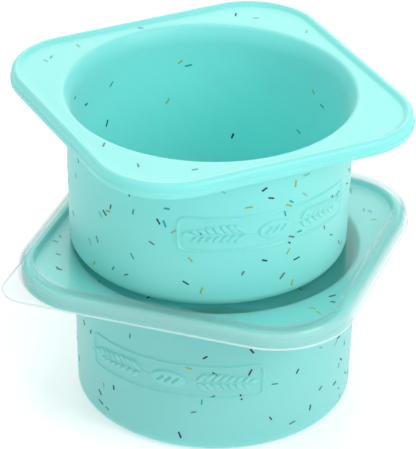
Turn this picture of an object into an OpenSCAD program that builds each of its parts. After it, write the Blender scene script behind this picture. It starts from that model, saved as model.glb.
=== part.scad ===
// Dough proofing set: two round tubs with square flanges, stacked, and the thin lid between them.
// The origin is the middle of the lower tub's base, +Z is up, and its badge faces -Y.

/* [Cup] */
// Outer radius of the round cup, just under the flange
cup_r = 56.4; // [45:0.1:57]
// How much smaller the outer radius is at the base than at the top
cup_taper = 1.5; // [0:0.1:4]
// Thickness of the cup's wall
wall_t = 2.0; // [1:0.1:3]
// Thickness of the cup's floor
floor_t = 2.4; // [1.2:0.1:5]
// Radius of the outer edge of the base
base_edge_r = 4.4; // [3.2:0.1:8]
// Height of a tub, from its base to the top of its roll
tub_h = 66.7; // [40:0.1:120]
// How much wider than the bore the mouth is, on each side
mouth_flare = 3.7; // [2.6:0.1:3.8]
// Height over which the bore widens into the mouth
mouth_flare_h = 8.5; // [6:0.1:12]
// Radius of the mouth's rounded edge
mouth_edge_r = 2.0; // [0.5:0.1:2.2]

/* [Flange] */
// Width of the square flange, from flat side to flat side
flange_w = 132.4; // [129:0.2:170]
// Radius of the flange's corners, seen from above
flange_corner_r = 30.1; // [16:0.1:40]
// Thickness of the flange's flat part
flange_t = 3.0; // [1.5:0.1:4]
// Height of the flange's turned-down edge
edge_h = 6.0; // [5.4:0.1:10]
// Thickness of the turned-down edge
edge_t = 3.2; // [1.5:0.1:4]
// Width of the soft roll that runs round the top of the flange
roll_w = 5.2; // [4.2:0.1:6]
// How far the roll stands above the flange's flat part
roll_h = 1.2; // [0.4:0.1:1.6]
// Radius of the roll's outer edge
roll_edge_r = 1.9; // [0.5:0.1:2.2]
// How far the mould's parting ledge steps out from the roll's side
ledge_w = 0.4; // [0.1:0.1:0.8]
// How far the parting ledge lies below the top of the roll
ledge_drop = 3.5; // [2.6:0.1:4.5]
// Radius of the fillet between the cup and the underside of the flange
neck_r = 2.5; // [0.5:0.1:3]

/* [Badge] */
// Height of the badge's middle above the tub's base
badge_z = 32.9; // [20:0.1:45]
// Height of the badge, between the middles of its lines
badge_h = 14.3; // [8:0.1:20]
// Width of the badge, straight across between the middles of its lines
badge_w = 69.8; // [30:0.1:84]
// Radius of the badge's corners
badge_corner_r = 3.0; // [1:0.1:4]
// Width of the badge's raised line
badge_line_w = 1.0; // [0.4:0.1:1.6]
// How far the badge's line stands out from the wall
badge_rise = 0.4; // [0.2:0.1:0.8]

/* [Lid] */
// Thickness of the lid's sheet
lid_t = 0.8; // [0.5:0.1:1.5]
// Gap between the lid's skirt and the flange's edge
lid_gap = 0.35; // [0.2:0.05:1]
// Clear height between the roll and the inside of the lid's bead
bead_gap = 2.1; // [0.5:0.1:5]
// Outer radius of the bead's outer edge
bead_edge_r = 3.2; // [1.8:0.1:3.4]
// Outer radius of the bead's inner edge
bead_inner_r = 1.4; // [1:0.1:2]
// Radius where the bead's foot turns in under the panel
bead_foot_r = 1.2; // [0.9:0.1:1.4]
// Flat width left between the roll and the bead's foot
bead_foot_gap = 0.5; // [0.3:0.1:1.5]
// How far the skirt hangs below the top of the roll
skirt_drop = 5.1; // [3:0.1:8]
// How far the lip stands out at the skirt's bottom edge
lip_w = 0.5; // [0.2:0.1:1.5]
// Height of the lip
lip_h = 0.7; // [0.4:0.1:1.5]
// Corner radius of the pull tab
tab_corner_r = 11; // [4:0.5:14]
// Thickness of the pull tab
tab_t = 0.9; // [0.5:0.1:2]

/* [Stack] */
// How far the upper tub is turned on the lid, in degrees
upper_turn = 45.6; // [0:0.1:90]
// Where the upper tub's middle lies to the side of the lower tub's
upper_x = -2.9; // [-4:0.1:4]
// Where the upper tub's middle lies behind the lower tub's
upper_y = -1.1; // [-4:0.1:4]

/* [Hidden] */
$fn = 96;

tub_colour = "#86ddd2";
lid_colour = [0.88, 0.96, 0.95, 0.45];

// Steps along a quarter of a rounded edge, and along the roll's slope
arc_steps = 8;
slope_steps = 8;
// How far two shapes that join run into each other
joined = 0.4;
// How far a cutting shape runs past the face that it opens
past = 1;

bore_r = cup_r - wall_t;
cup_base_r = cup_r - cup_taper;
bore_base_r = cup_base_r - wall_t;
floor_edge_r = base_edge_r - wall_t;
mouth_r = bore_r + mouth_flare;
flat_z = tub_h - roll_h;
under_z = flat_z - flange_t;
flange_half = flange_w / 2;

// The big arc that starts along the bore and ends along the mouth's small rounded edge
flare_rise = mouth_flare_h - mouth_edge_r;
flare_r = (pow(mouth_flare, 2) + pow(flare_rise, 2) - pow(mouth_edge_r, 2))
    / (2 * (mouth_flare - mouth_edge_r));
flare_angle = asin(flare_rise / (flare_r - mouth_edge_r));

lid_half = flange_half + lid_gap + lid_t;
lid_corner_r = flange_corner_r + lid_gap + lid_t;
lid_bottom_z = tub_h - skirt_drop;
lid_top_z = tub_h + bead_gap + lid_t;
panel_z = flat_z + lid_t;
// Distances inward from the skirt's outer face
foot_x = lid_t + lid_gap + roll_w + bead_foot_gap;
hollow_x = foot_x - bead_foot_r;
bead_w = hollow_x + lid_t;

// Points of an arc about [x, z], from angle a to angle b
function arc(x, z, r, a, b) =
    [for (i = [0 : arc_steps]) let (t = a + (b - a) * i / arc_steps) [x + r * cos(t), z + r * sin(t)]];

// Points down the roll's slope: level at its crest and level again at its foot
function roll_slope(x_crest, x_foot) =
    [for (i = [1 : slope_steps]) let (t = i / slope_steps)
        [x_crest + (x_foot - x_crest) * t, -roll_h * t * t * (3 - 2 * t)]];

// A square with rounded corners, seen from above
module rounded_square(half, r) {
    square([2 * half, 2 * (half - r)], center = true);
    square([2 * (half - r), 2 * half], center = true);
    for (x = [-1, 1], y = [-1, 1])
        translate([x * (half - r), y * (half - r)]) circle(r);
}

// Carries an edge profile round a rounded square: x = 0 is the square's side, and inward is negative
module round_the_square(half, r) {
    for (turn = [0 : 90 : 270]) rotate(turn) {
        translate([half - r, half - r]) rotate_extrude(angle = 90) translate([r, 0]) children();
        translate([half, half - r]) rotate([90, 0, 0]) linear_extrude(2 * (half - r)) children();
    }
}

// The cup from outside, as a solid, grown outward by rise
module cup_solid(rise = 0) {
    rotate_extrude() polygon(concat(
        [[0, 0]],
        arc(cup_base_r + rise - base_edge_r, base_edge_r, base_edge_r, -90, 0),
        rise > 0 ? [[cup_r + rise, under_z]] : arc(cup_r + neck_r, under_z - neck_r, neck_r, 180, 90),
        [[cup_r + rise, flat_z], [0, flat_z]]
    ));
}

// The space inside the cup, with the flared mouth
module bore() {
    rotate_extrude() polygon(concat(
        [[0, floor_t]],
        arc(bore_base_r - floor_edge_r, floor_t + floor_edge_r, floor_edge_r, -90, 0),
        arc(bore_r + flare_r, flat_z - mouth_flare_h, flare_r, 180, 180 - flare_angle),
        arc(mouth_r, flat_z - mouth_edge_r, mouth_edge_r, 180 - flare_angle, 90),
        [[mouth_r, tub_h + past], [0, tub_h + past]]
    ));
}

// Edge of the flange: roll, rounded side, parting ledge and turned-down edge; z = 0 is the roll's top
module flange_edge() {
    crest_x = -ledge_w - roll_edge_r;
    inner_x = -roll_w - joined;
    polygon(concat(
        [[0, -edge_h], [0, -ledge_drop], [-ledge_w, -ledge_drop]],
        arc(crest_x, -roll_edge_r, roll_edge_r, 0, 90),
        roll_slope(crest_x, -roll_w),
        [[inner_x, -roll_h], [inner_x, -roll_h - flange_t]],
        [[-edge_t, -roll_h - flange_t], [-edge_t, -edge_h]]
    ));
}

module flange() {
    translate([0, 0, tub_h]) round_the_square(flange_half, flange_corner_r) flange_edge();
    translate([0, 0, under_z]) linear_extrude(flange_t)
        rounded_square(flange_half - roll_w, flange_corner_r - roll_w);
}

// The badge's bare frame, drawn flat and pressed onto the front of the cup
module badge() {
    half_w = badge_w / 2;
    half_h = badge_h / 2;
    intersection() {
        cup_solid(badge_rise);
        translate([0, 0, badge_z]) rotate([90, 0, 0]) linear_extrude(cup_r + past) difference() {
            badge_outline(badge_line_w / 2);
            badge_outline(-badge_line_w / 2);
        }
    }
}

// A rectangle with rounded corners along the middle of the badge's line, grown outward by grow
module badge_outline(grow) {
    w = badge_w + 2 * grow;
    h = badge_h + 2 * grow;
    r = badge_corner_r + grow;
    square([w, h - 2 * r], center = true);
    square([w - 2 * r, h], center = true);
    for (x = [-1, 1], y = [-1, 1]) translate([x * (w / 2 - r), y * (h / 2 - r)]) circle(r);
}

module tub() {
    color(tub_colour) difference() {
        union() {
            cup_solid();
            flange();
            badge();
        }
        bore();
    }
}

// Section of the lid's rim: lip, skirt, hollow bead and foot; z = 0 is the roll's top
module lid_edge() {
    bottom = -skirt_drop;
    top = bead_gap + lid_t;
    panel = lid_t - roll_h;
    polygon(concat(
        [[0 - lid_t, bottom], [lip_w, bottom], [lip_w, bottom + lip_h], [0, bottom + lip_h]],
        arc(-bead_edge_r, top - bead_edge_r, bead_edge_r, 0, 90),
        arc(-bead_w + bead_inner_r, top - bead_inner_r, bead_inner_r, 90, 180),
        [[-bead_w, panel], [-foot_x - joined, panel], [-foot_x - joined, -roll_h]],
        arc(-foot_x, bead_foot_r - roll_h, bead_foot_r, -90, 0),
        arc(-bead_w + bead_inner_r, bead_gap + lid_t - bead_inner_r, bead_inner_r - lid_t, 180, 90),
        arc(-bead_edge_r, top - bead_edge_r, bead_edge_r - lid_t, 90, 0)
    ));
}

// The flat corner that one lifts the lid by
module pull_tab() {
    outer = lid_half + lip_w;
    translate([0, 0, lid_bottom_z]) linear_extrude(tab_t) difference() {
        intersection() {
            rounded_square(outer, tab_corner_r);
            translate([-outer, -outer]) square(lid_corner_r + lip_w);
        }
        rounded_square(lid_half - joined, lid_corner_r - joined);
    }
}

module lower_tub() {
    tub();
}

module lid() {
    color(lid_colour) union() {
        translate([0, 0, tub_h]) round_the_square(lid_half, lid_corner_r) lid_edge();
        translate([0, 0, flat_z]) linear_extrude(lid_t) rounded_square(lid_half - foot_x, lid_corner_r - foot_x);
        pull_tab();
    }
}

module upper_tub() {
    translate([upper_x, upper_y, panel_z]) rotate(upper_turn) tub();
}

lower_tub();
lid();
upper_tub();
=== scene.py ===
# %% [markdown]
# # A stack of dough proofing tubs
# Two soft mint tubs with coloured flecks stand on each other, with one thin clear lid between them. Each
# tub is a round cup under a square flange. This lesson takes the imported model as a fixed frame, and builds
# the surfaces that one sees: the silicone with its flecks and raised badge, and the clear plastic of the
# lid.
# %% Load the frame
import math

import bpy
import numpy as np
from mathutils import Matrix, Vector


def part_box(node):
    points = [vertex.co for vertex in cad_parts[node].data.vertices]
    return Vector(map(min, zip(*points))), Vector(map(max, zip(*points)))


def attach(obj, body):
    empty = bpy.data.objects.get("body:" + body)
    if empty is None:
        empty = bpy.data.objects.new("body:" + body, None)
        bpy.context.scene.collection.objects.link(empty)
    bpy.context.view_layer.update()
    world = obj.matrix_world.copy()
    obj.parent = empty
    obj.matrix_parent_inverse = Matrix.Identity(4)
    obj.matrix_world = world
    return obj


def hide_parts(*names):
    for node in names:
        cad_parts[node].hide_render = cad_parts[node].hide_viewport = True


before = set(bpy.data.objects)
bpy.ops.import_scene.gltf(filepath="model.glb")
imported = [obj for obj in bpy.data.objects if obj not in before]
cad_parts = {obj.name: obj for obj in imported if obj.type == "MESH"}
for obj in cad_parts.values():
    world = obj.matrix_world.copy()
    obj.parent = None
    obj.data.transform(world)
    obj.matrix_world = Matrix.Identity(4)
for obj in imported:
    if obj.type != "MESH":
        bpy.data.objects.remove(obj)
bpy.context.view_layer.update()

MM = 0.001

# %% [markdown]
# ## The camera
# The photograph was taken from a little over the rim, from far away with a long lens, so the two tubs
# hardly shrink with distance. The camera aims at a point inside the stack, and is placed by three plain
# facts: how far away it is, how far round, and how high. A small roll completes it. The sensor is fitted by
# its height, so that the frame is the same at any aspect.
# %% Place the camera
PHOTO_HEIGHT_PX = 449
SENSOR_MM = 36.0
FOCAL_PX = 3343.0
AIM_MM = (-3.05, -1.02, 71.7)
DISTANCE_MM = 1325.0
AZIMUTH_DEG = 18.6
ELEVATION_DEG = 29.93
ROLL_DEG = 0.99


def put_in_scene(name, data):
    """A new object for a mesh, a lamp or a camera"""
    thing = bpy.data.objects.new(name, data)
    bpy.context.scene.collection.objects.link(thing)
    return thing


def place_camera():
    turn, lift, roll = (math.radians(a) for a in (AZIMUTH_DEG, ELEVATION_DEG, ROLL_DEG))
    back = Vector((math.sin(turn) * math.cos(lift), -math.cos(turn) * math.cos(lift), math.sin(lift)))
    right = Vector((math.cos(turn), math.sin(turn), 0))
    up = back.cross(right)
    across = right * math.cos(roll) + up * math.sin(roll)
    upward = up * math.cos(roll) - right * math.sin(roll)
    data = bpy.data.cameras.new("camera")
    data.sensor_fit = "VERTICAL"
    data.sensor_height = SENSOR_MM
    data.lens = FOCAL_PX * SENSOR_MM / PHOTO_HEIGHT_PX
    data.clip_start, data.clip_end = 0.05, 20.0
    camera = put_in_scene("camera", data)
    place = Vector(AIM_MM) * MM + back * DISTANCE_MM * MM
    camera.matrix_world = Matrix.Translation(place) @ Matrix((across, upward, back)).transposed().to_4x4()
    bpy.context.scene.camera = camera
    return camera


camera = place_camera()
print("lens in mm:", round(camera.data.lens, 1))

# %% [markdown]
# ## Studio light
# The photograph has soft light from everywhere, with most of it from the right. The world gives the even
# part, and looks white to the camera and in reflections. Four soft lamps do the rest: the key shapes the
# walls from the right, one stands over the mouth, a weak one fills the front, and one behind gives the
# flange its pale sheen. The floor is white to the camera and still takes the stack's shadow. It glows less
# on things than it looks, so that the walls get less light from below.
# %% World, lamps and floor
SKY_LEVEL = 0.56
FLOOR_GLOW = 0.44
FLOOR_LIGHT = 0.34
FLOOR_TONE = 0.76
FLOOR_HALF = 6.0
# The floor lies a hair under the stack, so that the two faces aren't in the same place
FLOOR_DROP = 0.0002


def new_material(name):
    """An empty node material and its output node"""
    material = bpy.data.materials.new(name)
    material.use_nodes = True
    material.node_tree.nodes.clear()
    return material, material.node_tree.nodes.new("ShaderNodeOutputMaterial")


def math_node(tree, operation, *values):
    """A Math node's result, from numbers or from the outputs of other nodes"""
    node = tree.nodes.new("ShaderNodeMath")
    node.operation = operation
    for socket, value in zip(node.inputs, values):
        if isinstance(value, (int, float)):
            socket.default_value = value
        else:
            tree.links.new(value, socket)
    return node.outputs[0]


def seen_directly(tree):
    """1 for a ray from the camera, from gloss or through glass, and 0 for the light that falls on things"""
    path = tree.nodes.new("ShaderNodeLightPath")
    first = math_node(tree, "MAXIMUM", path.outputs["Is Camera Ray"], path.outputs["Is Glossy Ray"])
    return math_node(tree, "MAXIMUM", first, path.outputs["Is Transmission Ray"])


def make_world():
    world = bpy.data.worlds.new("studio")
    bpy.context.scene.world = world
    world.use_nodes = True
    tree = world.node_tree
    tree.nodes.clear()
    output = tree.nodes.new("ShaderNodeOutputWorld")
    background = tree.nodes.new("ShaderNodeBackground")
    level = tree.nodes.new("ShaderNodeMapRange")
    level.inputs["To Min"].default_value = SKY_LEVEL
    level.inputs["To Max"].default_value = 1.0
    tree.links.new(seen_directly(tree), level.inputs["Value"])
    background.inputs["Color"].default_value = (1, 1, 1, 1)
    tree.links.new(level.outputs["Result"], background.inputs["Strength"])
    tree.links.new(background.outputs[0], output.inputs["Surface"])


def soft_lamp(name, azimuth, elevation, distance, size, watts):
    """A square lamp that looks at the middle of the stack"""
    turn, lift = math.radians(azimuth), math.radians(elevation)
    away = Vector((math.sin(turn) * math.cos(lift), -math.cos(turn) * math.cos(lift), math.sin(lift)))
    data = bpy.data.lights.new(name, "AREA")
    data.shape = "SQUARE"
    data.size = size
    data.energy = watts
    lamp = put_in_scene(name, data)
    lamp.location = Vector(AIM_MM) * MM + away * distance
    lamp.rotation_euler = away.to_track_quat("Z", "Y").to_euler()


def make_floor():
    material, output = new_material("white floor")
    tree = material.node_tree
    matte = tree.nodes.new("ShaderNodeBsdfDiffuse")
    glow = tree.nodes.new("ShaderNodeEmission")
    both = tree.nodes.new("ShaderNodeAddShader")
    level = tree.nodes.new("ShaderNodeMapRange")
    level.inputs["To Min"].default_value = FLOOR_LIGHT
    level.inputs["To Max"].default_value = FLOOR_GLOW
    matte.inputs["Color"].default_value = (FLOOR_TONE, FLOOR_TONE, FLOOR_TONE, 1)
    tree.links.new(seen_directly(tree), level.inputs["Value"])
    tree.links.new(level.outputs["Result"], glow.inputs["Strength"])
    tree.links.new(matte.outputs[0], both.inputs[0])
    tree.links.new(glow.outputs[0], both.inputs[1])
    tree.links.new(both.outputs[0], output.inputs["Surface"])
    half = FLOOR_HALF
    corners = [(-half, -half, 0), (half, -half, 0), (half, half, 0), (-half, half, 0)]
    mesh = bpy.data.meshes.new("floor")
    mesh.from_pydata(corners, [], [(0, 1, 2, 3)])
    floor = put_in_scene("floor", mesh)
    floor.location.z = -FLOOR_DROP
    mesh.materials.append(material)


make_world()
soft_lamp("key", azimuth=74, elevation=30, distance=1.1, size=0.5, watts=4.5)
soft_lamp("top", azimuth=0, elevation=78, distance=1.2, size=0.4, watts=3.6)
soft_lamp("fill", azimuth=8, elevation=6, distance=1.3, size=0.9, watts=1.0)
soft_lamp("sheen", azimuth=196, elevation=26, distance=1.2, size=0.7, watts=3.3)
make_floor()
bpy.context.scene.view_settings.view_transform = "Standard"

# %% [markdown]
# ## One grain for every moulded surface
# Silicone and clear plastic both come out of a mould that isn't a perfect mirror: the skin has a very fine
# unevenness, and takes light a little differently from place to place. That is one effect with different
# strengths, so it is one node group, placed in each material with its own values.
# %% The moulded grain group


def moulded_grain_group():
    group = bpy.data.node_groups.new("moulded grain", "ShaderNodeTree")
    face = group.interface
    for name, value in (("Grain Size", 900.0), ("Depth", 0.15), ("Roughness", 0.4), ("Variation", 0.06)):
        face.new_socket(name, in_out="INPUT", socket_type="NodeSocketFloat").default_value = value
    face.new_socket("Normal", in_out="OUTPUT", socket_type="NodeSocketVector")
    face.new_socket("Roughness", in_out="OUTPUT", socket_type="NodeSocketFloat")
    face.new_socket("Cloud", in_out="OUTPUT", socket_type="NodeSocketFloat")
    nodes, links = group.nodes, group.links
    given, result = nodes.new("NodeGroupInput"), nodes.new("NodeGroupOutput")
    place = nodes.new("ShaderNodeTexCoord")
    fine = nodes.new("ShaderNodeTexNoise")
    fine.inputs["Detail"].default_value = 3.0
    links.new(place.outputs["Object"], fine.inputs["Vector"])
    links.new(given.outputs["Grain Size"], fine.inputs["Scale"])
    broad = nodes.new("ShaderNodeTexNoise")
    broad.inputs["Scale"].default_value = 28.0
    links.new(place.outputs["Object"], broad.inputs["Vector"])
    bump = nodes.new("ShaderNodeBump")
    bump.inputs["Distance"].default_value = 0.0001
    links.new(given.outputs["Depth"], bump.inputs["Strength"])
    links.new(fine.outputs["Fac"], bump.inputs["Height"])
    variation, roughness = given.outputs["Variation"], given.outputs["Roughness"]
    spread = math_node(group, "MULTIPLY_ADD", broad.outputs["Fac"], variation, roughness)
    links.new(bump.outputs["Normal"], result.inputs["Normal"])
    links.new(spread, result.inputs["Roughness"])
    links.new(broad.outputs["Fac"], result.inputs["Cloud"])
    return group


GRAIN = moulded_grain_group()


def add_grain(tree, size, depth, roughness, variation):
    grain = tree.nodes.new("ShaderNodeGroup")
    grain.node_tree = GRAIN
    values = {"Grain Size": size, "Depth": depth, "Roughness": roughness, "Variation": variation}
    for name, value in values.items():
        grain.inputs[name].default_value = value
    return grain


print("grain inputs:", [s.name for s in GRAIN.interface.items_tree if s.in_out == "INPUT"])

# %% [markdown]
# ## Mint silicone
# The silicone is dyed through, so its colour hardly changes, but it is a little cloudy: a faint cloud moves
# it between two close mints. Light goes some way into it and comes out beside, which subsurface scattering
# gives, and so the hollow of a cup stays bright. A satin gloss and a little sheen finish it.
# %% The silicone material
MINT = (0.220, 0.720, 0.675, 1)
MINT_PALE = (0.245, 0.745, 0.700, 1)
SOFT_GRAIN = {"size": 1400.0, "depth": 0.12, "variation": 0.08}


def mint_silicone():
    material, output = new_material("mint silicone")
    tree = material.node_tree
    skin = tree.nodes.new("ShaderNodeBsdfPrincipled")
    grain = add_grain(tree, roughness=0.36, **SOFT_GRAIN)
    tint = tree.nodes.new("ShaderNodeMix")
    tint.data_type = "RGBA"
    tint.inputs["A"].default_value = MINT
    tint.inputs["B"].default_value = MINT_PALE
    tree.links.new(grain.outputs["Cloud"], tint.inputs["Factor"])
    tree.links.new(tint.outputs["Result"], skin.inputs["Base Color"])
    tree.links.new(grain.outputs["Roughness"], skin.inputs["Roughness"])
    tree.links.new(grain.outputs["Normal"], skin.inputs["Normal"])
    skin.inputs["IOR"].default_value = 1.42
    skin.inputs["Subsurface Weight"].default_value = 0.42
    skin.inputs["Subsurface Radius"].default_value = (0.25, 1.0, 0.9)
    skin.inputs["Subsurface Scale"].default_value = 0.015
    skin.inputs["Sheen Weight"].default_value = 0.18
    skin.inputs["Sheen Roughness"].default_value = 0.5
    tree.links.new(skin.outputs[0], output.inputs["Surface"])
    return material


SILICONE = mint_silicone()
print("material:", SILICONE.name)

# %% [markdown]
# ## Flecks
# The flecks are chips of coloured plastic stirred into the silicone before moulding. Some are dark and
# crisp, and others lie a little deeper on the real tub and look milky, which two pale tones stand for here.
# Each chip carries one number, and a ramp with hard steps turns that number into one of the chip colours.
# %% The fleck material
FLECK_TONES = (
    (0.00, (0.030, 0.022, 0.062, 1)),
    (0.16, (0.004, 0.050, 0.045, 1)),
    (0.32, (0.006, 0.340, 0.390, 1)),
    (0.52, (0.350, 0.430, 0.050, 1)),
    (0.72, (0.100, 0.180, 0.230, 1)),
    (0.84, (0.190, 0.480, 0.470, 1)),
)


def fleck_plastic():
    material, output = new_material("coloured flecks")
    tree = material.node_tree
    chip = tree.nodes.new("ShaderNodeBsdfPrincipled")
    tone = tree.nodes.new("ShaderNodeAttribute")
    tone.attribute_name = "fleck_tone"
    ramp = tree.nodes.new("ShaderNodeValToRGB")
    ramp.color_ramp.interpolation = "CONSTANT"
    for i, (place, colour) in enumerate(FLECK_TONES):
        stop = ramp.color_ramp.elements[i] if i < 2 else ramp.color_ramp.elements.new(place)
        stop.position, stop.color = place, colour
    grain = add_grain(tree, roughness=0.40, **SOFT_GRAIN)
    chip.inputs["Specular IOR Level"].default_value = 0.25
    tree.links.new(tone.outputs["Fac"], ramp.inputs["Fac"])
    tree.links.new(ramp.outputs["Color"], chip.inputs["Base Color"])
    tree.links.new(grain.outputs["Roughness"], chip.inputs["Roughness"])
    tree.links.new(grain.outputs["Normal"], chip.inputs["Normal"])
    tree.links.new(chip.outputs[0], output.inputs["Surface"])
    return material


FLECKS = fleck_plastic()
print("material:", FLECKS.name, "with", len(FLECK_TONES), "tones")

# %% [markdown]
# ## Clear lid plastic
# A thin clear sheet shows what lies under it, a little milky. Glass with bent light would be slow and noisy
# for so thin a sheet, so this one is a see-through shader with a share of pale film over it. The share
# grows where one looks along the sheet. The pale film added where the sheet leans, as on the bead, is a
# painted reflection, and the most film, on the edge of the lip whose points carry a number of their own,
# is a painted highlight. Fresnel adds the gloss, only where one looks at the skin from outside the plastic.
# %% The lid material
# Extra pale film on the lip's edge rings: a painted highlight line
LIP_PAINTED_HIGHLIGHT = 0.55
GLOSS_SHARE = 0.42


def clear_lid_plastic():
    material, output = new_material("clear lid plastic")
    tree = material.node_tree
    nodes, links = tree.nodes, tree.links
    clear = nodes.new("ShaderNodeBsdfTransparent")
    clear.inputs["Color"].default_value = (0.950, 0.970, 0.970, 1)
    film = nodes.new("ShaderNodeBsdfPrincipled")
    film.inputs["Base Color"].default_value = (0.68, 0.84, 0.83, 1)
    grain = add_grain(tree, size=500.0, depth=0.05, roughness=0.22, variation=0.08)
    links.new(grain.outputs["Roughness"], film.inputs["Roughness"])
    links.new(grain.outputs["Normal"], film.inputs["Normal"])
    facing = nodes.new("ShaderNodeLayerWeight")
    facing.inputs["Blend"].default_value = 0.5
    grazing = nodes.new("ShaderNodeMapRange")
    grazing.interpolation_type = "SMOOTHSTEP"
    grazing.inputs["From Min"].default_value = 0.5
    grazing.inputs["To Min"].default_value = 0.05
    grazing.inputs["To Max"].default_value = 0.5
    links.new(facing.outputs["Facing"], grazing.inputs["Value"])
    place = nodes.new("ShaderNodeTexCoord")
    lean = nodes.new("ShaderNodeSeparateXYZ")
    links.new(place.outputs["Normal"], lean.inputs[0])
    # More pale film where the sheet leans, as on the bead: a painted reflection
    painted_lean_reflection = nodes.new("ShaderNodeMapRange")
    painted_lean_reflection.inputs["From Min"].default_value = 0.97
    painted_lean_reflection.inputs["From Max"].default_value = 0.45
    painted_lean_reflection.inputs["To Max"].default_value = 0.13
    links.new(math_node(tree, "ABSOLUTE", lean.outputs["Z"]), painted_lean_reflection.inputs["Value"])
    # The lip's marked rings take the painted highlight here
    highlight_mask = nodes.new("ShaderNodeAttribute")
    highlight_mask.attribute_name = "painted_lip_highlight"
    rim_highlight = math_node(tree, "MULTIPLY", highlight_mask.outputs["Fac"], LIP_PAINTED_HIGHLIGHT)
    haze_and_reflection = math_node(tree, "ADD", grazing.outputs["Result"], painted_lean_reflection.outputs["Result"])
    amount = math_node(tree, "ADD", haze_and_reflection, rim_highlight)
    amount.node.use_clamp = True
    body = nodes.new("ShaderNodeMixShader")
    links.new(amount, body.inputs["Fac"])
    links.new(clear.outputs[0], body.inputs[1])
    links.new(film.outputs[0], body.inputs[2])
    gloss = nodes.new("ShaderNodeBsdfGlossy")
    gloss.inputs["Roughness"].default_value = 0.14
    shine = nodes.new("ShaderNodeFresnel")
    shine.inputs["IOR"].default_value = 1.49
    finish = nodes.new("ShaderNodeMixShader")
    side = nodes.new("ShaderNodeNewGeometry")
    outer = math_node(tree, "SUBTRACT", 1.0, side.outputs["Backfacing"])
    faint = math_node(tree, "MULTIPLY", outer, GLOSS_SHARE)
    links.new(math_node(tree, "MULTIPLY", shine.outputs[0], faint), finish.inputs["Fac"])
    links.new(body.outputs[0], finish.inputs[1])
    links.new(gloss.outputs[0], finish.inputs[2])
    links.new(finish.outputs[0], output.inputs["Surface"])
    return material


LID_PLASTIC = clear_lid_plastic()
print("material:", LID_PLASTIC.name)

# %% [markdown]
# ## Rings make a tub
# A cup is round and its flange is a square with round corners, and the material flows from one to the
# other. So the whole surface is a stack of closed rings with the same number of points. Each ring is a
# circle, a rounded square, or a share of both, and neighbouring rings are joined with quads. The points of
# a ring stand closer together on the front, where the badge is.
# %% Ring tools
FINE_POINTS, COARSE_POINTS = 340, 200
FINE_SPREAD_DEG = 40.0
fine = np.linspace(270 - FINE_SPREAD_DEG, 270 + FINE_SPREAD_DEG, FINE_POINTS, endpoint=False)
coarse = np.linspace(270 + FINE_SPREAD_DEG, 630 - FINE_SPREAD_DEG, COARSE_POINTS, endpoint=False)
TURNS = np.radians(np.concatenate([fine, coarse]))
POINTS_ROUND = len(TURNS)
COS, SIN = np.cos(TURNS), np.sin(TURNS)


def square_reach(half, corner):
    """How far a rounded square reaches from its middle, in each direction"""
    long, short = np.maximum(abs(COS), abs(SIN)), np.minimum(abs(COS), abs(SIN))
    core = half - corner
    side = half / long
    bend = core * (long + short) + np.sqrt(np.maximum(corner**2 - core**2 * (long - short) ** 2, 0))
    return np.where(side * short <= core, side, bend)


def arc(x, z, radius, start, end, steps):
    """Points of an arc in the section, with its angles in degrees"""
    angles = np.radians(np.linspace(start, end, steps + 1))
    return [(x + radius * math.cos(a), z + radius * math.sin(a)) for a in angles]


def skin_of_rings(name, rings, material, bright_rings=()):
    """A closed mesh through rings of (reach, z), pole to pole. Bright rings get 1 for a painted highlight"""
    points = []
    for reach, z in rings:
        reach = np.broadcast_to(reach, (POINTS_ROUND,))
        points += list(zip(reach * COS, reach * SIN, np.full(POINTS_ROUND, z)))
    n, last = POINTS_ROUND, len(rings) - 1
    faces = [
        (k * n + i, (k + 1) * n + i, (k + 1) * n + (i + 1) % n, k * n + (i + 1) % n)
        for k in range(last)
        for i in range(n)
    ]
    first_pole = len(points)
    points += [(0, 0, rings[0][1]), (0, 0, rings[-1][1])]
    faces += [(first_pole, i, (i + 1) % n) for i in range(n)]
    faces += [(first_pole + 1, last * n + (i + 1) % n, last * n + i) for i in range(n)]
    piece = solid(name, points, faces, material)
    highlight_mask = piece.data.attributes.new("painted_lip_highlight", "FLOAT", "POINT")
    bright = np.zeros(len(points), dtype=np.float32)
    for k in bright_rings:
        bright[k * n : (k + 1) * n] = 1.0
    highlight_mask.data.foreach_set("value", bright)
    return piece


def solid(name, points_mm, faces, material):
    """A smooth mesh object from points in millimetres"""
    mesh = bpy.data.meshes.new(name)
    mesh.from_pydata([tuple(c * MM for c in p) for p in points_mm], [], faces)
    mesh.polygons.foreach_set("use_smooth", [True] * len(mesh.polygons))
    mesh.materials.append(material)
    mesh.update()
    return put_in_scene(name, mesh)


print("points in a ring:", POINTS_ROUND)

# %% [markdown]
# ## Sizes of a tub
# The frame gives the flange's width and the tub's height. The rest are the tub's own walls and radii.
# %% Tub sizes
low, high = (np.array(corner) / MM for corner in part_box("lower_tub"))
FLANGE_HALF = (high[0] - low[0]) / 2
TUB_H = high[2]
FLANGE_CORNER = 30.1
CUP_R, CUP_BASE_R, WALL, FLOOR = 56.4, 54.9, 2.0, 2.4
BASE_EDGE_R = 4.4
MOUTH_FLARE, MOUTH_FLARE_H, MOUTH_EDGE_R = 3.7, 8.5, 2.0
ROLL_W, ROLL_H, ROLL_EDGE_R = 5.2, 1.2, 1.9
FLANGE_T, EDGE_H, EDGE_T = 3.0, 6.0, 3.2
LEDGE_W, LEDGE_DROP = 0.4, 3.5
NECK_R = 2.5
EDGE_FOOT_R, EDGE_LIP_R, EDGE_ROOT_R = 0.7, 0.5, 0.6
FLOOR_RINGS, BASE_RINGS = (2, 14, 28, 42), (38, 26, 14, 2)
FLAT_Z = TUB_H - ROLL_H
UNDER_Z = FLAT_Z - FLANGE_T
print("flange half", round(FLANGE_HALF, 2), "height", round(TUB_H, 2))


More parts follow.
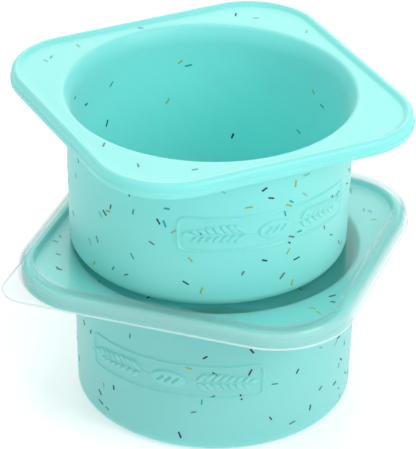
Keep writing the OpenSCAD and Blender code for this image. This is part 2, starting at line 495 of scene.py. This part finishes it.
def wall_radius(z):
    """Outer radius of the cup's wall at a height"""
    return CUP_BASE_R + (CUP_R - CUP_BASE_R) * (z - BASE_EDGE_R) / (UNDER_Z - NECK_R - BASE_EDGE_R)


def flange_ring(inset, z):
    return square_reach(FLANGE_HALF - inset, FLANGE_CORNER - inset), z


def between(ring_a, ring_b, steps):
    """Rings that turn one ring into another, without the first and the last"""
    shares = [i / steps for i in range(1, steps)]
    return [(ring_a[0] * (1 - t) + ring_b[0] * t, ring_a[1] * (1 - t) + ring_b[1] * t) for t in shares]


def soft_step(value):
    """0 up to 0, 1 from 1 on, and a soft bend between"""
    value = np.clip(value, 0, 1)
    return value * value * (3 - 2 * value)


def cup_inside():
    bore_r, bore_base_r, floor_edge_r = CUP_R - WALL, CUP_BASE_R - WALL, BASE_EDGE_R - WALL
    rise = MOUTH_FLARE_H - MOUTH_EDGE_R
    flare_r = (MOUTH_FLARE**2 + rise**2 - MOUTH_EDGE_R**2) / (2 * (MOUTH_FLARE - MOUTH_EDGE_R))
    lean = math.degrees(math.asin(rise / (flare_r - MOUTH_EDGE_R)))
    mouth_r = bore_r + MOUTH_FLARE
    rings = [(r, FLOOR) for r in FLOOR_RINGS]
    rings += arc(bore_base_r - floor_edge_r, FLOOR + floor_edge_r, floor_edge_r, -90, 0, 7)
    low_ring, high_ring = rings[-1], (bore_r, FLAT_Z - MOUTH_FLARE_H)
    rings += between(low_ring, high_ring, 8)
    rings += arc(bore_r + flare_r, FLAT_Z - MOUTH_FLARE_H, flare_r, 180, 180 - lean, 8)
    rings += arc(mouth_r, FLAT_Z - MOUTH_EDGE_R, MOUTH_EDGE_R, 180 - lean, 90, 8)[1:]
    return rings


def flange_section():
    """Rings over the flange's roll, down its edge and in under it"""
    crest = LEDGE_W + ROLL_EDGE_R
    rings = []
    steps = 12
    for i in range(steps + 1):
        t = i / steps
        rise = soft_step(t)
        rings.append((ROLL_W + (crest - ROLL_W) * t, FLAT_Z + ROLL_H * rise))
    rings += [(crest - dx, z) for dx, z in arc(0, TUB_H - ROLL_EDGE_R, ROLL_EDGE_R, 90, 0, 9)[1:]]
    ledge_z, soft, ledge_draft = TUB_H - LEDGE_DROP, 0.12, 0.02
    rings += [(LEDGE_W - ledge_draft, ledge_z + soft), (LEDGE_W - soft / 2, ledge_z + soft / 4)]
    rings += [(soft / 2, ledge_z), (soft / 8, ledge_z - soft / 2), (0.0, ledge_z - soft)]
    foot, draft = TUB_H - EDGE_H, 0.1
    foot_arc = arc(0, foot + EDGE_FOOT_R, EDGE_FOOT_R, 0, -90, 6)
    lip_arc = arc(0, foot + EDGE_LIP_R, EDGE_LIP_R, -90, -180, 4)
    root_arc = arc(0, UNDER_Z - EDGE_ROOT_R, EDGE_ROOT_R, 0, 90, 4)
    rings += [(draft + EDGE_FOOT_R - dx, z) for dx, z in foot_arc]
    rings += [(EDGE_T - EDGE_LIP_R - dx, z) for dx, z in lip_arc]
    rings += [(EDGE_T + EDGE_ROOT_R - dx, z) for dx, z in root_arc]
    return [flange_ring(inset, z) for inset, z in rings]


# %% [markdown]
# ## The raised badge
# The badge is pressed out of the wall itself, so it has no seam: a thin raised frame, and inside it a plain
# motif of two ears of wheat with a small loaf between them. It is drawn flat, as a height for every place
# along the wall (u, to the right) and up it (z). The wall's points are then pushed out by that height.
# %% Relief heights
BADGE_Z, BADGE_H, BADGE_W, BADGE_CORNER = 32.9, 14.3, 75.4, 3.0
LINE_RISE, LINE_HALF_W = 0.75, 0.50
MOTIF_RISE, MOTIF_EDGE = 0.8, 0.32
STEM_START, STEM_RISE, EAR_BOW, BOW_LENGTH = 8, 0.36, 0.5, 5


def frame_height(u, z):
    """A soft ridge along a rounded rectangle"""
    over_u = abs(u) - (BADGE_W / 2 - BADGE_CORNER)
    over_z = abs(z - BADGE_Z) - (BADGE_H / 2 - BADGE_CORNER)
    outside = np.hypot(np.maximum(over_u, 0), np.maximum(over_z, 0))
    distance = abs(outside + np.minimum(np.maximum(over_u, over_z), 0) - BADGE_CORNER)
    return LINE_RISE * soft_step(1.15 - distance / LINE_HALF_W)


def leaf_height(u, z, foot_u, foot_z, length, width, tilt_deg):
    """A pointed oval with a flat top, like a grain of wheat, that leans by a tilt"""
    cos, sin = math.cos(math.radians(tilt_deg)), math.sin(math.radians(tilt_deg))
    along = (u - foot_u) * cos + (z - foot_z) * sin
    aside = (z - foot_z) * cos - (u - foot_u) * sin
    share = np.clip(2 * along / length - 1, -1, 1)
    inside = width / 2 * (1 - share**2) - abs(aside)
    return MOTIF_RISE * soft_step(inside / MOTIF_EDGE)


def wheat_height(u, z, side):
    """One ear that lies along the badge, with its stem towards the middle"""
    grains, pitch, first = 7, 3.0, 11.5
    grain_length, grain_width, lean_deg, taper, apart = 5.8, 2.5, 36, 0.05, 0.45
    tip_length, tip_width, tip_back = 4.6, 2.2, 0.6
    stem_half, stem_edge, stem_gap = 0.6, 0.4, 0.3
    bow = BADGE_Z + EAR_BOW * np.sin((abs(u) - STEM_START) / BOW_LENGTH)
    on_stem = (u * side > STEM_START + stem_gap) * (u * side < first + grains * pitch)
    height = STEM_RISE * soft_step((stem_half - abs(z - bow)) / stem_edge) * on_stem
    for i in range(grains):
        at, size = first + pitch * i, 1 - taper * i
        foot_z = BADGE_Z + EAR_BOW * math.sin((at - STEM_START) / BOW_LENGTH)
        length, width = grain_length * size, grain_width * size
        for up in (1, -1):
            tilt = lean_deg * up if side > 0 else 180 - lean_deg * up
            grain = leaf_height(u, z, side * at, foot_z + apart * up, length, width, tilt)
            height = np.maximum(height, grain)
    tip = side * (first + pitch * grains - tip_back)
    tip_grain = leaf_height(u, z, tip, BADGE_Z, tip_length, tip_width, 0 if side > 0 else 180)
    return np.maximum(height, tip_grain)


def loaf_height(u, z):
    """A long loaf seen from above, with three slanting cuts, in the middle of the badge"""
    half_w, half_h, cut_pitch = 7.0, 3.7, 3.1
    cut_half, cut_w, painted_lip_highlight = 1.5, 0.15, 0.45
    up = z - BADGE_Z
    inside = 1 - np.hypot(u / half_w, up / half_h)
    loaf = soft_step(inside * half_h / MOTIF_EDGE)
    for middle in (-cut_pitch, 0.0, cut_pitch):
        along, across = (u - middle + up) * math.sqrt(0.5), (u - middle - up) * math.sqrt(0.5)
        apart = np.hypot(across, np.maximum(abs(along) - cut_half, 0))
        loaf = loaf * soft_step((apart - cut_w) / painted_lip_highlight)
    return MOTIF_RISE * loaf


def badge_height(z):
    """How far the wall stands out at one height, for every point of a ring"""
    turn = (np.degrees(TURNS) - 270 + 180) % 360 - 180
    u = np.radians(turn) * wall_radius(BADGE_Z)
    z = np.full(POINTS_ROUND, z)
    height = np.maximum(frame_height(u, z), loaf_height(u, z))
    height = np.maximum(height, wheat_height(u, z, 1))
    return np.maximum(height, wheat_height(u, z, -1))


print("badge:", BADGE_W, "by", BADGE_H, "mm, line", LINE_RISE, "and motif", MOTIF_RISE, "mm high")

# %% [markdown]
# ## The whole tub
# The cup's outside bends in under the flange, runs down the wall, and bends again at the base. Its rings
# stand close together where the badge is and far apart on the bare wall. Inside, flange and outside then
# follow each other as one stack of rings, so the tub is one closed skin without a seam.
# %% Cup wall and whole tub
BADGE_MARGIN, BADGE_RINGS = 0.8, 58


def cup_outside():
    rings = arc(CUP_R + NECK_R, UNDER_Z - NECK_R, NECK_R, 90, 180, 7)
    badge_top = BADGE_Z + BADGE_H / 2 + BADGE_MARGIN
    badge_foot = BADGE_Z - BADGE_H / 2 - BADGE_MARGIN
    rings += [(wall_radius(z), z) for z in np.linspace(UNDER_Z - NECK_R, badge_top, 6)[1:-1]]
    rings += [(wall_radius(z) + badge_height(z), z) for z in np.linspace(badge_top, badge_foot, BADGE_RINGS)]
    rings += [(wall_radius(z), z) for z in np.linspace(badge_foot, BASE_EDGE_R, 7)[1:-1]]
    rings += arc(CUP_BASE_R - BASE_EDGE_R, BASE_EDGE_R, BASE_EDGE_R, 0, -90, 9)
    return rings + [(r, 0.0) for r in BASE_RINGS]


def tub_rings():
    inside, flange, outside = cup_inside(), flange_section(), cup_outside()
    land = between(inside[-1], flange[0], 4)
    under = between(flange[-1], outside[0], 4)
    return inside + land + flange + under + outside


def make_tub(name):
    tub = skin_of_rings(name, tub_rings(), SILICONE)
    print(name, "faces:", len(tub.data.polygons))
    return tub


lower_shell = make_tub("lower_tub_shell")
upper_shell = make_tub("upper_tub_shell")

# %% [markdown]
# ## Scattering the flecks
# A Geometry Nodes tree throws points on strips of the tub's skin, thickly on the cup's outside and the
# flange and thinly inside. The strips keep away from tight bends, where a straight chip would stick out.
# Each point gets one small chip, turned at random in the surface and stretched at random. The chips lie
# almost flush, so only their tops show. The number for the colour is stored with each chip, and the same
# tree with another seed makes the other tub's flecks.
# %% Fleck scatter
FLECKS_PER_M2 = 7400.0
FLECK_T, FLECK_SINK = 0.10, 0.065
FLECK_LENGTHS, FLECK_WIDTHS = (2.0, 3.2), (0.52, 0.76)
WALL_SHARE, LAND_SHARE, BORE_SHARE, FLOOR_SHARE = 1.0, 0.8, 0.25, 0.15
LOWER_SEED, UPPER_SEED = 3, 8
# Added to the seed, so that a chip's tone, turn, length and width don't follow each other
TONE_SALT, TURN_SALT, LENGTH_SALT, WIDTH_SALT = 11, 23, 37, 41


def fleck_chip():
    """One chip: a flat bar of 1 mm by 1 mm with uneven ends, to be stretched"""
    outline = [(-0.5, -0.34), (-0.42, -0.5), (0.44, -0.5), (0.5, -0.28), (0.46, 0.42), (0.36, 0.5)]
    outline += [(-0.47, 0.5), (-0.5, 0.2)]
    n = len(outline)
    points = [(x, y, 1.0) for x, y in outline] + [(x, y, 0.0) for x, y in outline]
    faces = [tuple(range(n)), tuple(reversed(range(n, 2 * n)))]
    faces += [(i, n + i, n + (i + 1) % n, (i + 1) % n) for i in range(n)]
    chip = solid("fleck_chip", points, faces, FLECKS)
    chip.data.polygons.foreach_set("use_smooth", [False] * len(chip.data.polygons))
    return chip


def fleck_tree():
    tree = bpy.data.node_groups.new("fleck scatter", "GeometryNodeTree")
    face = tree.interface
    face.new_socket("Geometry", in_out="INPUT", socket_type="NodeSocketGeometry")
    face.new_socket("Chip", in_out="INPUT", socket_type="NodeSocketObject")
    face.new_socket("Seed", in_out="INPUT", socket_type="NodeSocketInt")
    face.new_socket("Density", in_out="INPUT", socket_type="NodeSocketFloat")
    face.new_socket("Geometry", in_out="OUTPUT", socket_type="NodeSocketGeometry")
    nodes, links = tree.nodes, tree.links
    given, result = nodes.new("NodeGroupInput"), nodes.new("NodeGroupOutput")

    def random_value(low_value, high_value, salt):
        node = nodes.new("FunctionNodeRandomValue")
        node.inputs[2].default_value, node.inputs[3].default_value = low_value, high_value
        links.new(math_node(tree, "ADD", given.outputs["Seed"], salt), node.inputs["Seed"])
        return node.outputs[1]

    share = nodes.new("GeometryNodeInputNamedAttribute")
    share.data_type = "FLOAT"
    share.inputs["Name"].default_value = "fleck_share"
    density = math_node(tree, "MULTIPLY", share.outputs["Attribute"], given.outputs["Density"])
    scatter = nodes.new("GeometryNodeDistributePointsOnFaces")
    scatter.distribute_method = "RANDOM"
    links.new(given.outputs["Geometry"], scatter.inputs["Mesh"])
    links.new(density, scatter.inputs["Density"])
    links.new(given.outputs["Seed"], scatter.inputs["Seed"])
    tone = nodes.new("GeometryNodeStoreNamedAttribute")
    tone.data_type, tone.domain = "FLOAT", "POINT"
    tone.inputs["Name"].default_value = "fleck_tone"
    links.new(scatter.outputs["Points"], tone.inputs["Geometry"])
    links.new(random_value(0.0, 1.0, TONE_SALT), tone.inputs["Value"])
    spin = nodes.new("FunctionNodeRotateRotation")
    spin.rotation_space = "LOCAL"
    turn = nodes.new("FunctionNodeAxisAngleToRotation")
    turn.inputs["Axis"].default_value = (0, 0, 1)
    links.new(random_value(0.0, math.tau, TURN_SALT), turn.inputs["Angle"])
    links.new(scatter.outputs["Rotation"], spin.inputs[0])
    links.new(turn.outputs[0], spin.inputs[1])
    size = nodes.new("ShaderNodeCombineXYZ")
    links.new(random_value(*FLECK_LENGTHS, LENGTH_SALT), size.inputs[0])
    links.new(random_value(*FLECK_WIDTHS, WIDTH_SALT), size.inputs[1])
    size.inputs[2].default_value = FLECK_T
    chip = nodes.new("GeometryNodeObjectInfo")
    links.new(given.outputs["Chip"], chip.inputs["Object"])
    plant = nodes.new("GeometryNodeInstanceOnPoints")
    links.new(tone.outputs["Geometry"], plant.inputs["Points"])
    links.new(chip.outputs["Geometry"], plant.inputs["Instance"])
    links.new(spin.outputs[0], plant.inputs["Rotation"])
    links.new(size.outputs[0], plant.inputs["Scale"])
    sink = nodes.new("GeometryNodeTranslateInstances")
    links.new(plant.outputs[0], sink.inputs["Instances"])
    sink.inputs["Translation"].default_value = (0, 0, -FLECK_SINK * MM)
    real = nodes.new("GeometryNodeRealizeInstances")
    links.new(sink.outputs[0], real.inputs[0])
    paint = nodes.new("GeometryNodeSetMaterial")
    paint.inputs["Material"].default_value = FLECKS
    links.new(real.outputs[0], paint.inputs["Geometry"])
    links.new(paint.outputs[0], result.inputs[0])
    return tree


def fleck_strips():
    """Strips of the tub's skin that can take flecks, each with its share of the full density"""
    wall = [(wall_radius(z), z) for z in (UNDER_Z - NECK_R - 0.5, 45, 30, 15, BASE_EDGE_R + 1)]
    mouth_r = CUP_R - WALL + MOUTH_FLARE
    land = between((mouth_r + 0.9, FLAT_Z), (flange_ring(ROLL_W + 0.8, FLAT_Z)[0], FLAT_Z), 5)
    bore = [(wall_radius(z) - WALL, z) for z in (FLOOR + 5, 20, 35, FLAT_Z - MOUTH_FLARE_H - 1)]
    floor = [(r, FLOOR) for r in (2, 25, 48)]
    outer = ((wall[::-1], WALL_SHARE), (land[::-1], LAND_SHARE))
    inner = ((bore, BORE_SHARE), (floor[::-1], FLOOR_SHARE))
    return outer + inner


def make_seedbed(name):
    """An open mesh of the strips, with a density share stored on its points"""
    points, faces, shares = [], [], []
    for rings, share in fleck_strips():
        start, n = len(points), POINTS_ROUND
        for reach, z in rings:
            reach = np.broadcast_to(reach, (n,))
            points += list(zip(reach * COS, reach * SIN, np.full(n, z)))
            shares += [share] * n
        for k in range(len(rings) - 1):
            a, b = start + k * n, start + (k + 1) * n
            faces += [(a + i, a + (i + 1) % n, b + (i + 1) % n, b + i) for i in range(n)]
    bed = solid(name, points, faces, SILICONE)
    bed.data.attributes.new("fleck_share", "FLOAT", "POINT").data.foreach_set("value", shares)
    return bed


def scatter_flecks(name, chip, tree, seed):
    bed = make_seedbed(name + "_bed")
    modifier = bed.modifiers.new("flecks", "NODES")
    modifier.node_group = tree
    values = {"Chip": chip, "Seed": seed, "Density": FLECKS_PER_M2}
    for item in tree.interface.items_tree:
        if item.in_out == "INPUT" and item.name in values:
            modifier[item.identifier] = values[item.name]
    bpy.context.view_layer.update()
    graph = bpy.context.evaluated_depsgraph_get()
    mesh = bpy.data.meshes.new_from_object(bed.evaluated_get(graph))
    flecks = put_in_scene(name, mesh)
    bed.modifiers.clear()
    bpy.data.objects.remove(bed)
    print(name, "faces:", len(mesh.polygons))
    return flecks


chip = fleck_chip()
scatter_tree = fleck_tree()
lower_flecks = scatter_flecks("lower_tub_flecks", chip, scatter_tree, LOWER_SEED)
upper_flecks = scatter_flecks("upper_tub_flecks", chip, scatter_tree, UPPER_SEED)
bpy.data.objects.remove(chip)

# %% [markdown]
# ## The lid
# The lid is one thin sheet: a flat panel that lies on the flange, a hollow bead that steps over the
# flange's roll, and a skirt that ends in a thin lip. At one corner the lip grows into a flat tab to pull
# at. It is a stack of rings as well, over the top from the middle of the panel to the lip, and back
# underneath.
# %% Lid sizes and rings
lid_low, lid_high = (np.array(corner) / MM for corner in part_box("lid"))
LID_T, LID_GAP, LIP_W, LIP_H = 0.8, 0.35, 0.5, 0.8
LID_HALF = FLANGE_HALF + LID_GAP + LID_T
LID_CORNER = FLANGE_CORNER + LID_GAP + LID_T
LID_BOTTOM, LID_TOP = lid_low[2], lid_high[2]
BEAD_EDGE_R, BEAD_INNER_R, BEAD_FOOT_R, FOOT_GAP = 3.2, 1.4, 1.2, 0.5
FOOT_X = LID_T + LID_GAP + ROLL_W + FOOT_GAP
HOLLOW_X = FOOT_X - BEAD_FOOT_R
BEAD_W = HOLLOW_X + LID_T
TAB_CORNER = 11.0
BEAD_ROOT_R, LIP_ROOT_R, LIP_SOFT, LIP_START = 0.5, 0.3, 0.15, 0.02
PANEL_SHARES = (0.04, 0.3, 0.55, 0.8, 0.95)
# A hair of air keeps touching faces from being drawn in the same place
AIR = 0.04
print("lid from", round(LID_BOTTOM, 2), "to", round(LID_TOP, 2))


def lid_ring(inset, z):
    return square_reach(LID_HALF - inset, LID_CORNER - inset), z


def lip_ring(grow, z):
    """The lip's outline, whose corner with the tab is less rounded than the other three"""
    plain = square_reach(LID_HALF + grow, LID_CORNER + grow)
    tab = square_reach(LID_HALF + grow, TAB_CORNER + grow)
    at_tab = (COS < 0) & (SIN < 0)
    return np.where(at_tab, tab, plain), z


def lid_rings():
    """The lid's rings, and which of them, round the edge of the lip, get a painted highlight"""
    panel_top, panel_under = FLAT_Z + LID_T - AIR, FLAT_Z + AIR
    inner = square_reach(LID_HALF - BEAD_W - BEAD_ROOT_R, LID_CORNER - BEAD_W - BEAD_ROOT_R)
    rings = [(inner * share, panel_top) for share in PANEL_SHARES]
    root_arc = arc(-BEAD_ROOT_R, panel_top + BEAD_ROOT_R, BEAD_ROOT_R, -90, 0, 4)
    over = [(BEAD_W - x, z) for x, z in root_arc]
    inner_arc = arc(0, LID_TOP - BEAD_INNER_R, BEAD_INNER_R, 180, 90, 8)
    over += [(BEAD_W - BEAD_INNER_R - x, z) for x, z in inner_arc]
    over += [(BEAD_EDGE_R - x, z) for x, z in arc(0, LID_TOP - BEAD_EDGE_R, BEAD_EDGE_R, 90, 0, 14)]
    over += [(-x, z) for x, z in arc(LIP_ROOT_R, LID_BOTTOM + LIP_H + LIP_ROOT_R, LIP_ROOT_R, 180, 225, 3)]
    rings += [lid_ring(inset, z) for inset, z in over]
    lip_top = LID_BOTTOM + LIP_H
    rings += [lip_ring(LIP_START, lip_top)]
    # The next four rings, round the lip's edge, carry the painted highlight
    first_bright = len(rings)
    rings += [lip_ring(LIP_W - LIP_SOFT, lip_top), lip_ring(LIP_W, lip_top - LIP_SOFT)]
    rings += [lip_ring(LIP_W, LID_BOTTOM + LIP_SOFT), lip_ring(LIP_W - LIP_SOFT, LID_BOTTOM)]
    bright = range(first_bright, len(rings))
    rings += [lip_ring(LIP_START, LID_BOTTOM)]
    back = [(LID_T, LID_BOTTOM), (LID_T, LID_BOTTOM + LIP_ROOT_R)]
    inner_r = BEAD_EDGE_R - LID_T
    back += [(BEAD_EDGE_R - x, z) for x, z in arc(0, LID_TOP - BEAD_EDGE_R, inner_r, 0, 90, 12)]
    small_r = BEAD_INNER_R - LID_T
    back += [(BEAD_W - BEAD_INNER_R - x, z) for x, z in arc(0, LID_TOP - BEAD_INNER_R, small_r, 90, 180, 6)]
    back += [(FOOT_X - x, z) for x, z in arc(0, panel_under + BEAD_FOOT_R, BEAD_FOOT_R, 0, -90, 8)]
    rings += [lid_ring(inset, z) for inset, z in back]
    foot = rings[-1][0]
    return rings + [(foot * share, panel_under) for share in reversed(PANEL_SHARES)], bright


rings_of_lid, painted_highlight_rings = lid_rings()
lid_shell = skin_of_rings("lid_shell", rings_of_lid, LID_PLASTIC, painted_highlight_rings)
print("lid_shell faces:", len(lid_shell.data.polygons))

# %% [markdown]
# ## Everything to its place
# The lower tub and the lid were made where they belong. The upper tub's pieces were made as if it stood on
# the floor, so they are turned and lifted inside their meshes, and their objects stay at the origin.
# %% Place, ride and replace
UPPER_TURN_DEG = 45.6
upper_low, upper_high = (Vector(corner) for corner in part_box("upper_tub"))
upper_middle = (upper_low + upper_high) / 2
lift_up = Matrix.Translation((upper_middle.x, upper_middle.y, upper_low.z))
to_upper = lift_up @ Matrix.Rotation(math.radians(UPPER_TURN_DEG), 4, "Z")
for piece in (upper_shell, upper_flecks):
    piece.data.transform(to_upper)
print("upper tub stands at", [round(v / MM, 2) for v in (upper_middle.x, upper_middle.y, upper_low.z)])

for piece in (lower_shell, lower_flecks):
    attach(piece, "lower_tub")
for piece in (upper_shell, upper_flecks):
    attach(piece, "upper_tub")
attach(lid_shell, "lid")
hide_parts("lower_tub")
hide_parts("upper_tub")
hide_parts("lid")

print("pieces that replace a solid:", [piece.name for piece in (lower_shell, upper_shell, lid_shell)])
